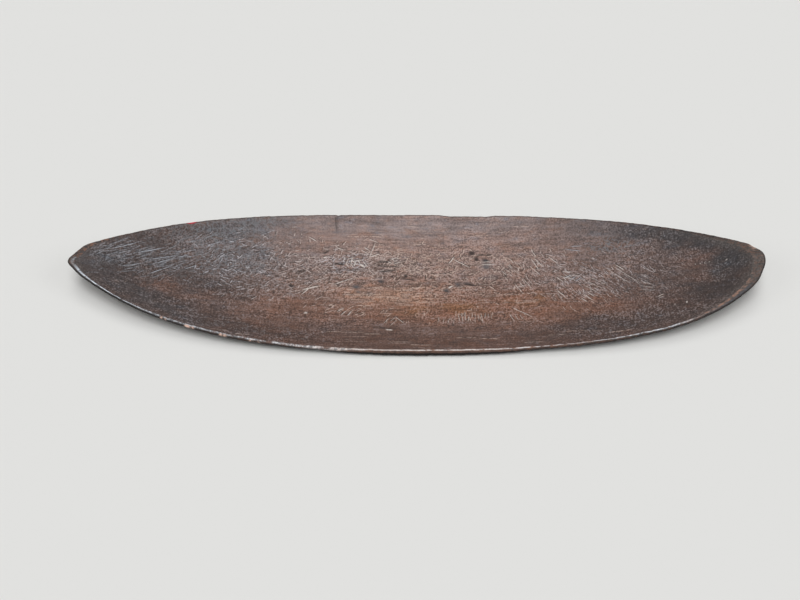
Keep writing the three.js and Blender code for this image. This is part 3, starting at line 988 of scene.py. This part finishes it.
BACK_LIP = np.array((
    (-540, 0.0, 0.0, 0.9, 0.6), (-500, 0.0, 0.0, 0.9, 0.6), (-460, 0.0, 0.0, 0.2, 0.9),
    (0, 0.0, 0.0, 0.2, 1.0), (480, 0.0, 0.0, 0.3, 1.0), (512, 0.0, 0.0, 1.0, 0.5), (540, 0.0, 0.0, 0.5, 0.5),
))
# Where along the lip, and how much of this there is
PALE_STRIP = ((425, 445, 505, 520), (0, 1, 1, 0))  # the inner edge of the front's broad ledge
WIDE_CREST = ((-450, -400, -120, -70, 250, 300, 410, 425), (0, 1, 1, 0.2, 0.1, 0.6, 0.6, 0))
CREST_SHIFT = ((150, 270), (0, 0.16))  # of the crest outwards, by the distance from the middle


@dataclass
class CarvedTray:
    """The tray's one piece of wood."""

    length: float = 1080.0
    beam: float = 336.0
    rim_height: float = 17.0
    hollow_depth: float = 11.0
    end_hollow_depth: float = 5.0
    hollow_fade: float = 4.0
    floor_thickness: float = 6.0
    dish_power: float = 3.6
    lip_width: float = 5.5
    lip_height: float = 6.5
    end_lip_height: float = 3.4
    lip_draft: float = 1.0
    lip_round: float = 2.0
    lip_easing: float = 0.8
    base_cut: float = 2.5
    kick_power: float = 10.0
    spine_inset: float = 120.0
    ledge_slope: float = 0.25
    heel_depth: float = 5.0  # how much deeper the front lip reaches, where it nearly meets the floor
    heel_at: float = 20.0
    heel_reach: float = 170.0
    narrow: TrayEnd = TrayEnd(-1, -10.5, 5, 20, 39, 35.5, 10, 38.5, 200, 180, 41.5, 6.5, 9, 16)
    broad: TrayEnd = TrayEnd(1, -10, 12, 16, 59.5, 31.5, 12, 43, 156, 212, 35, 19.5, 14, 8)
    worn_down: Waver = Waver((171, 83, 47, 19), 1.3, 0.9)
    nicked: Waver = Waver((11, 7.3), 4.1, 0.25)
    worn_in: Waver = Waver((139, 61, 29, 13), 2.6, 1.0)
    nose_zone: float = 40.0  # near a nose the lip isn't worn inwards
    pull_lean: float = 0.16  # how much of that wear is along the tray
    coarse: Stir = Stir(34, 22, 0.3)
    fine: Stir = Stir(11, 7, 5.3)
    side_run: float = 1180.0  # along either side, from nose to nose
    back_shift: float = 500.0  # so that the two sides aren't worn alike
    stations: int = 600
    hollow_rows: int = 52
    lip_steps: int = 3
    hull_rows: int = 13
    weight_steps: int = 20
    noise_seed: int = 1  # without one, the clock would seed the noise
    piece: bpy.types.Object = field(init=False, default=None)

    def build(self) -> bpy.types.Object:
        """Carves the tray, ages it and paints it.

        Returns:
            The finished piece.
        """
        self.piece = self._sheet()
        self._wrap()
        self._unroll()
        self._close()
        self._tool()
        self._age()
        self._paint()
        self.piece.data.materials.append(PatinatedHardwood().material())
        return self.piece

    @property
    def half(self) -> float:
        """Half of the length."""
        return self.length / 2

    @property
    def ends(self) -> tuple[TrayEnd, TrayEnd]:
        """Both ends."""
        return self.narrow, self.broad

    def rim_line(self, x: np.ndarray) -> np.ndarray:
        """Height of the top of the rim.

        Args:
            x: places along the tray.

        Returns:
            The height at each of them.
        """
        share = np.abs(x) / self.half
        rise, kick = (np.where(x < 0, *pair) for pair in zip(*((end.rise, end.kick) for end in self.ends)))
        return self.rim_height + rise * share**2 + kick * share**self.kick_power

    def floor_line(self, x: np.ndarray) -> np.ndarray:
        """Height of the hollow's floor on the middle line."""
        fade = (np.abs(x) / self.half) ** self.hollow_fade
        return self.rim_line(x) - (self.hollow_depth + (self.end_hollow_depth - self.hollow_depth) * fade)

    def _ledge(self, x: np.ndarray) -> np.ndarray:
        """How much wider than along the flanks the lip is."""
        share = np.abs(x) / self.half
        return np.where(x < 0, *(end.ledge * share**end.ledge_power for end in self.ends))

    def keel_line(self, x: np.ndarray) -> np.ndarray:
        """Height of the hull on the middle line, before the base is planed."""
        return self.floor_line(x) - self.floor_thickness - self.base_cut

    def _end_outline(self, end: TrayEnd, side: int) -> np.ndarray:
        """The outline of one end, from its nose to the middle of the tray.

        Args:
            end: which end.
            side: -1 for the front, 1 for the back.

        Returns:
            Closely spaced points seen from above.
        """
        breadth = end.front_breadth if side < 0 else end.back_breadth
        nose = np.array((end.towards * self.half, end.nose_offset))
        shoulder = np.array((end.towards * (self.half - end.snub_length), side * breadth))
        corner = nose + (0, side * end.nose_round)
        snub = unit(shoulder - corner)
        sweep = math.radians(end.sweep)
        flank = np.array((-end.towards * math.cos(sweep), side * math.sin(sweep)))
        start = shoulder + flank * end.shoulder_round
        middle = np.array((0.0, side * self.beam / 2))
        pull = np.array((end.towards * end.middle_reach, side * self.beam / 2))
        short, long = np.linspace(0, 1, 40), np.linspace(0, 1, 900)
        curves = (
            quadratic(nose, corner, corner + snub * end.nose_round, short),
            quadratic(shoulder - snub * end.shoulder_round, shoulder, start, short),
            cubic(start, shoulder + flank * end.shoulder_reach, pull, middle, long)[1:],
        )
        return np.vstack(curves)

    def _outline(self, side: int) -> tuple[np.ndarray, np.ndarray]:
        """The stations of one side, from the narrow nose to the broad one.

        Args:
            side: -1 for the front, 1 for the back.

        Returns:
            Points spaced evenly along the outline, and the way in, square to it.
        """
        narrow, broad = (self._end_outline(end, side) for end in self.ends)
        path = np.vstack((narrow, broad[::-1][1:]))
        run = np.append(0, np.cumsum(np.linalg.norm(np.diff(path, axis=0), axis=1)))
        even = np.linspace(0, run[-1], self.stations + 1)
        points = np.column_stack([np.interp(even, run, path[:, i]) for i in (0, 1)])
        along = unit(np.gradient(points, axis=0))
        inward = np.column_stack((along[:, 1], -along[:, 0])) * side
        inward[0], inward[-1] = (1, 0), (-1, 0)
        return points, inward

    def _lip_profile(self) -> tuple[np.ndarray, np.ndarray, np.ndarray]:
        """The lip from the hull over the top to the hollow.

        Returns:
            Distance in from the outline and height for each row, the share of the ledge's width that is added
            to it, and how far across it lies: 2 to 1.7 on the face, 1.5 to 1.2 on top, and 1 at the hollow.
        """
        w, r, h, d = self.lip_width, self.lip_round, self.lip_height, self.lip_draft
        t = np.linspace(0, 1, self.lip_steps + 1)
        third = (w - 2 * r) / 3
        curves = (
            quadratic((d + r, -h), (d, -h), (d, r - h), t),
            quadratic((0, -r), (0, 0), (r, 0), t),
            quadratic((r + third, 0), (w / 2, 0), (w - r - third, 0), t[::3]),
            quadratic((w - r, 0), (w - r / 2, 0), (w, -self.lip_easing), t),
        )
        ledge = np.concatenate((t * 0, t * 0, (1 / 3, 2 / 3), t * 0 + 1))
        across = np.concatenate((2 - 0.3 * t, 1.7 - 0.2 * t, (1.4, 1.3), 1.2 - 0.2 * t))
        return np.vstack(curves), ledge, across

    def _dished(self, foot: np.ndarray, edge: np.ndarray, middle: Line, share: float) -> np.ndarray:
        """One row of the hollow or of the hull.

        Args:
            foot: where each station's section meets the middle line, seen from above.
            edge: the row's outer end, at the lip.
            middle: the height on the middle line.
            share: how far out from the middle the row lies, from 0 to 1.

        Returns:
            The row's points.
        """
        flat = foot + (edge[:, :2] - foot) * share
        rise = (edge[:, 2] - middle(edge[:, 0])) * share**self.dish_power
        return np.column_stack((flat, middle(flat[:, 0]) + rise))

    def _half_section(self, side: int) -> tuple[np.ndarray, np.ndarray]:
        """One side of the skin, from under the keel, round the lip, to the middle of the hollow.

        Args:
            side: -1 for the front, 1 for the back.

        Returns:
            Rows of points, and for each row how far across it lies: 0 to 1 in the hollow, 1 to 2 over the
            lip, and 2 to 3 under the hull.
        """
        points, inward = self._outline(side)
        other, _ = self._outline(-side)
        spine = (points[:, 0] + other[:, 0]) / 2 * (self.half - self.spine_inset) / self.half
        foot = np.column_stack((spine, spine * 0))
        way = unit(foot - points)
        grow = 1 / np.maximum((inward * way).sum(axis=1), 0.3)
        top = self.rim_line(points[:, 0])
        profile, ledge_shares, lip_across = self._lip_profile()
        thin = 1 + (self.end_lip_height / self.lip_height - 1) * (points[:, 0] / self.half) ** 2
        ledge = self._ledge(points[:, 0])
        lip = []
        for (x, z), share in zip(profile, ledge_shares):
            flat = points + way * ((x + ledge * share) * grow)[:, None]
            lip.append(np.column_stack((flat, top + z * thin - ledge * share * self.ledge_slope)))
        hull_shares = np.linspace(0, 1, self.hull_rows + 1)[:-1]
        hollow_shares = np.linspace(1, 0, self.hollow_rows + 1)[1:]
        hull = [self._dished(foot, lip[0], self.keel_line, share) for share in hull_shares]
        hollow = [self._dished(foot, lip[-1], self.floor_line, share) for share in hollow_shares]
        rows = np.array([*hull, *lip, *hollow])
        across = np.concatenate((3 - hull_shares, lip_across, hollow_shares))
        return rows, across

    def _sheet(self) -> bpy.types.Object:
        """Lays out a flat sheet with a vertex for each place on the skin.

        Returns:
            The sheet.
        """
        rows = 2 * (self.hull_rows + 3 * (self.lip_steps + 1) + 2 + self.hollow_rows - 1)
        bpy.ops.object.select_all(action="DESELECT")
        bpy.ops.mesh.primitive_grid_add(x_subdivisions=self.stations, y_subdivisions=rows, size=2)
        sheet = bpy.context.object
        sheet.name = sheet.data.name = "carved_tray"
        return sheet

    def _wrap(self) -> None:
        """Wraps the sheet round the tray, so that its seam lies under the keel."""
        mesh = self.piece.data
        front, across = self._half_section(-1)
        back, _ = self._half_section(1)
        rows = np.concatenate((front, back[::-1][1:]))
        across = np.concatenate((across, across[::-1][1:]))
        at = read(mesh.vertices, "co", 3)
        station = np.rint((at[:, 0] + 1) / 2 * self.stations).astype(int)
        row = np.rint((at[:, 1] + 1) / 2 * (len(rows) - 1)).astype(int)
        placed = rows[row, station]
        placed[:, 2] = np.maximum(placed[:, 2], 0)
        mesh.vertices.foreach_set("co", (placed * MM).ravel())
        self._store("across", across[row])
        self._store("run", station / self.stations)

    def _store(self, name: str, values: np.ndarray) -> None:
        """Paints a number on each vertex."""
        layer = self.piece.data.attributes.new(name, "FLOAT", "POINT")
        layer.data.foreach_set("value", values.astype(np.float32))

    def _stored(self, name: str) -> np.ndarray:
        """Reads back a number painted on each vertex."""
        return read(self.piece.data.attributes[name].data, "value", 1)[:, 0]

    def _places(self) -> np.ndarray:
        """The vertices, in mm."""
        return read(self.piece.data.vertices, "co", 3) / MM

    def _put(self, at: np.ndarray) -> None:
        """Moves the vertices to new places, in mm."""
        self.piece.data.vertices.foreach_set("co", (at * MM).ravel())
        self.piece.data.update()

    def _unroll(self) -> None:
        """Lays out a map for baking: the sheet's own, with its narrow half below and its broad half above."""
        mesh = self.piece.data
        flat = read(mesh.uv_layers.active.data, "uv", 2).reshape(-1, 4, 2)
        broad = flat[:, :, 0].mean(axis=1)[:, None] > 0.5
        laid = np.stack((flat[:, :, 0] * 2 - broad, flat[:, :, 1] * 0.498 + broad * 0.502), axis=2)
        layer = mesh.uv_layers.new(name="OFBake")
        layer.data.foreach_set("uv", laid.astype(np.float32).ravel())

    def _close(self) -> None:
        """Joins the seam under the keel and the folds at both noses, and turns all faces out."""
        bpy.ops.object.mode_set(mode="EDIT")
        bpy.ops.mesh.select_all(action="SELECT")
        bpy.ops.mesh.remove_doubles(threshold=0.002 * MM)
        bpy.ops.mesh.normals_make_consistent(inside=False)
        bpy.ops.object.mode_set(mode="OBJECT")
        bpy.ops.object.shade_smooth()

    def _press(self, relief: Relief) -> None:
        """Presses a texture into the skin and applies it.

        Args:
            relief: what is pressed in.
        """
        texture = bpy.data.textures.new(relief.name, relief.kind)
        for name, setting in {"noise_scale": 1.0, **relief.settings}.items():
            setattr(texture, name, setting)
        bpy.ops.object.empty_add(type="PLAIN_AXES", location=(0, 0, 0))
        ruler = bpy.context.object
        ruler.scale = [c * MM for c in relief.cell]
        bpy.ops.object.select_all(action="DESELECT")
        self.piece.select_set(True)
        bpy.context.view_layer.objects.active = self.piece
        press = self.piece.modifiers.new("relief", "DISPLACE")
        press.texture = texture
        press.texture_coords = "OBJECT"
        press.texture_coords_object = ruler
        press.strength = relief.depth * MM
        press.mid_level = relief.level
        press.vertex_group = relief.group
        bpy.ops.object.modifier_apply(modifier=press.name)
        bpy.data.objects.remove(ruler)
        bpy.data.textures.remove(texture)

    def _group(self, name: str, weights: np.ndarray) -> None:
        """Gathers vertices into a group, in a few steps of weight.

        Args:
            name: of the group.
            weights: of the vertices.
        """
        group = self.piece.vertex_groups.new(name=name)
        steps = np.rint(np.clip(weights, 0, 1) * self.weight_steps).astype(int)
        for step in range(1, self.weight_steps + 1):
            found = np.flatnonzero(steps == step)
            if len(found):
                group.add(found.tolist(), step / self.weight_steps, "REPLACE")

    def _tool(self) -> None:
        """Leaves the marks of the tools: a scraped hollow and an adzed hull."""
        across, at = self._stored("across"), self._places()
        self._group("hollow", (0.99 - across) / 0.05)
        self._group("hull", np.clip((across - 2.0) / 0.1, 0, 1) * np.clip(at[:, 2] / 1.5, 0, 1))
        for relief in RELIEFS:
            self._press(relief)
        self.piece.vertex_groups.clear()

    def _age(self) -> None:
        """Wears the lip down unevenly and sinks the knots."""
        at, across, run = self._places(), self._stored("across"), self._stored("run")
        back = at[:, 1] > 0
        lip = np.clip((across - 0.93) / 0.07, 0, 1) * np.clip((2.12 - across) / 0.1, 0, 1)
        length = run * self.side_run + back * self.back_shift
        sunk = self.worn_down.along(length) + self.nicked.along(length) + sum(dip.sunk(at) for dip in DIPS)
        at[:, 2] -= sunk * lip
        heel = self.heel_depth * np.clip(1 - ((at[:, 0] - self.heel_at) / self.heel_reach) ** 2, 0, 1) * ~back
        on_lip, on_hull = np.clip((across - 1.7) / 0.15, 0, 1), np.clip(3 - across, 0, 1) ** self.dish_power
        at[:, 2] -= heel * np.where(across <= 2, on_lip, on_hull)
        from_nose = np.clip((self.half - np.abs(at[:, 0])) / self.nose_zone, 0.1, 1)
        inward = unit(np.column_stack((at[:, 0] * -self.pull_lean, -at[:, 1])) + 1e-9)
        at[:, :2] += inward * (self.worn_in.along(length) * from_nose * lip)[:, None]
        for pit in PITS:
            away = np.hypot(at[:, 0] - pit.x, at[:, 1] - pit.y) / pit.radius
            at[:, 2] -= pit.depth * np.exp(-(away**2)) * (across < 0.95)
        at[:, 2] = np.maximum(at[:, 2], 0)
        self._put(at)

    def _mark(self, flat: np.ndarray) -> None:
        """Draws the single scratches and slits.

        Args:
            flat: the vertices seen from above, shifted a little so that no mark is quite straight.
        """
        for ink, groups in SCRATCHES.items():
            layers = [MarkLayers(ink, batch, flat) for batch in range(ink.batches)]
            for stroke in (stroke for marks in groups for stroke in marks.strokes()):
                if not any(layer.draw(stroke) for layer in layers):
                    LOG.info("no room for a mark at %.0f, %.0f", stroke.x, stroke.y)
            for layer in layers:
                layer.store(self.piece.data)

    def _paint(self) -> None:
        """Paints the patina, the places of the cuts, and the wear of the lip."""
        at, across = self._places(), self._stored("across")
        flat = at[:, :2]
        noise.seed_set(self.noise_seed)
        stir, fine = self.coarse.at(flat), self.fine.at(flat)
        ragged = flat + stir * (26, 16) + fine * (9, 6)
        colour = np.tile(np.array(Tone.DIM_BROWN.value), (len(at), 1))
        for tone, *patches in TONES:
            for patch in patches:
                colour += (np.array(tone.value) - colour) * patch.weight(ragged)[:, None]
        layer = self.piece.data.attributes.new("patina", "FLOAT_COLOR", "POINT")
        colour = np.column_stack((colour, np.ones(len(at))))
        layer.data.foreach_set("color", colour.astype(np.float32).ravel())
        for family, patches in CUT_PATCHES.items():
            self._store(family.value, np.clip(sum(patch.weight(ragged) for patch in patches), 0, 1))
        inside = across < 0.97
        self._mark(flat + fine * (1.0, 0.8))
        spots = [(p, np.exp(-((np.hypot(*(flat + fine * 3 - (p.x, p.y)).T) / p.radius) ** 2))) for p in PITS]
        self._store("pits", np.clip(sum(p.dark * spot for p, spot in spots), 0, 1) * inside)
        self._store("slate", np.clip(sum(p.slate * spot for p, spot in spots), 0, 1) * inside)
        front = flat[:, 1] < 0
        stirred = at[:, 0] + stir[:, 0] * 16
        for column, name in enumerate(LIP_LOOKS, 1):
            sides = [np.interp(stirred, lip[:, 0], lip[:, column]) for lip in (FRONT_LIP, BACK_LIP)]
            self._store(name, np.where(front, *sides))
        self._store("ledge", np.clip(self._ledge(at[:, 0]) / 5, 0, 1) * np.where(at[:, 0] < 0, 0.5, 1.0))
        self._store("front", front)
        self._store("back_line", np.where(front, 0, np.interp(at[:, 0], BACK_LIP[:, 0], BACK_LIP[:, -1])))
        self._store("strip", np.interp(at[:, 0], *PALE_STRIP) * front)
        self._store("lip_wide", np.interp(at[:, 0], *WIDE_CREST))
        self._store("lip_in", np.interp(np.abs(at[:, 0]), *CREST_SHIFT))
        self._store("chips", np.clip(sum(chip.weight(flat) for chip in CHIPS) * 2 - 0.5, 0, 1))
        self._store("red_trace", np.clip(RED_TRACE.weight(flat) * 2.4 - 1, 0, 1))
        self._store("scuffed", SCUFFED.weight(flat))


# The room


@dataclass(frozen=True)
class Lamp:
    """A soft lamp, so far away that its light is even."""

    name: str
    share: float  # of the light on the floor
    tilt: float  # degrees from straight above, towards the viewer
    lean: float = 0.0  # and towards the broad end
    spread: float = 26.0  # degrees across it
    distance: float = 4.0  # metres

    def build(self) -> None:
        """Hangs the lamp."""
        away = Vector((math.tan(math.radians(self.lean)), -math.tan(math.radians(self.tilt)), 1)).normalized()
        bpy.ops.object.light_add(type="SUN", location=away * self.distance)
        lamp = bpy.context.object
        lamp.name = self.name
        lamp.rotation_euler = away.to_track_quat("Z", "Y").to_euler()
        lamp.data.angle = math.radians(self.spread)
        lamp.data.energy = self.share * math.pi / away.z


@dataclass(frozen=True)
class Studio:
    """A pale sweep, a faint even sky and a row of soft lamps from above the tray to its front."""

    ground: Colour = (0.752, 0.752, 0.737)
    floor_size: float = 24.0
    sky: float = 0.05
    lamps: tuple[Lamp, ...] = (
        Lamp("lamp_above", 0.11, 0),
        Lamp("lamp_between", 0.16, 20),
        Lamp("lamp_front", 0.565, 38),
        Lamp("lamp_left", 0.05, 42, -45),
        Lamp("lamp_right", 0.065, 38, 45),
    )
    elevation: float = 40.0
    distance: float = 3.2
    film: float = 36.0  # its width, mm
    focal: float = 91.53
    slide: tuple[float, float] = (-0.02533, -0.0189)  # of the camera, to its right and upwards

    def build(self) -> bpy.types.Object:
        """Sets up the floor, the lights and the camera.

        Returns:
            The floor.
        """
        self._light()
        self._camera()
        return self._floor()

    def _floor(self) -> bpy.types.Object:
        """Lays a wide matt floor for the tray to rest on.

        Returns:
            The floor.
        """
        bpy.ops.object.select_all(action="DESELECT")
        bpy.ops.mesh.primitive_plane_add(size=self.floor_size, location=(0, 0, 0))
        floor = bpy.context.object
        floor.name = "floor"
        r = Recipe(bpy.data.materials.new("pale floor"))
        inputs = {"Base Color": (*self.ground, 1.0), "Roughness": 1.0, "Specular IOR Level": 0.0}
        shader = r.node("BsdfPrincipled", {}, inputs)
        r.node("OutputMaterial", {}, {"Surface": shader.outputs[0]})
        floor.data.materials.append(r.owner)
        return floor

    def _light(self) -> None:
        """An even sky that shows as pale as the floor, and the lamps."""
        r = Recipe(bpy.data.worlds.new("studio"))
        bpy.context.scene.world = r.owner
        seen = r.node("Background", {}, {"Color": (*self.ground, 1.0)}).outputs[0]
        lit = r.node("Background", {}, {"Color": (1.0, 1.0, 1.0, 1.0), "Strength": self.sky}).outputs[0]
        rays = r.node("LightPath", {}, {}).outputs
        shown = Value(r, rays["Is Camera Ray"]).above(Value(r, rays["Is Glossy Ray"]))
        mix = r.node("MixShader", {}, {0: shown, 1: lit, 2: seen}).outputs[0]
        r.node("OutputWorld", {}, {"Surface": mix})
        for lamp in self.lamps:
            lamp.build()

    def _camera(self) -> None:
        """A camera at the photograph's angle."""
        lift = math.radians(self.elevation)
        back = Vector((0, -math.cos(lift), math.sin(lift)))
        up = Vector((0, math.sin(lift), math.cos(lift)))
        place = back * self.distance + Vector((1, 0, 0)) * self.slide[0] + up * self.slide[1]
        bpy.ops.object.camera_add(location=place, rotation=(math.pi / 2 - lift, 0, 0))
        camera = bpy.context.object
        camera.name = "camera"
        camera.data.sensor_width = self.film
        camera.data.lens = self.focal
        camera.data.clip_end = 60
        bpy.context.scene.camera = camera


def main() -> None:
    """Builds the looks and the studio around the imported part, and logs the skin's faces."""
    logging.basicConfig(level=logging.INFO, format="%(message)s")
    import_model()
    tray = CarvedTray().build()
    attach(tray, "root")
    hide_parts(CAD_NODE)
    LOG.info("%s: %d faces", tray.name, len(tray.data.polygons))
    floor = Studio().build()
    LOG.info("%s: staged", floor.name)
    bpy.context.scene.view_settings.view_transform = "Standard"


if __name__ == "__main__":
    main()
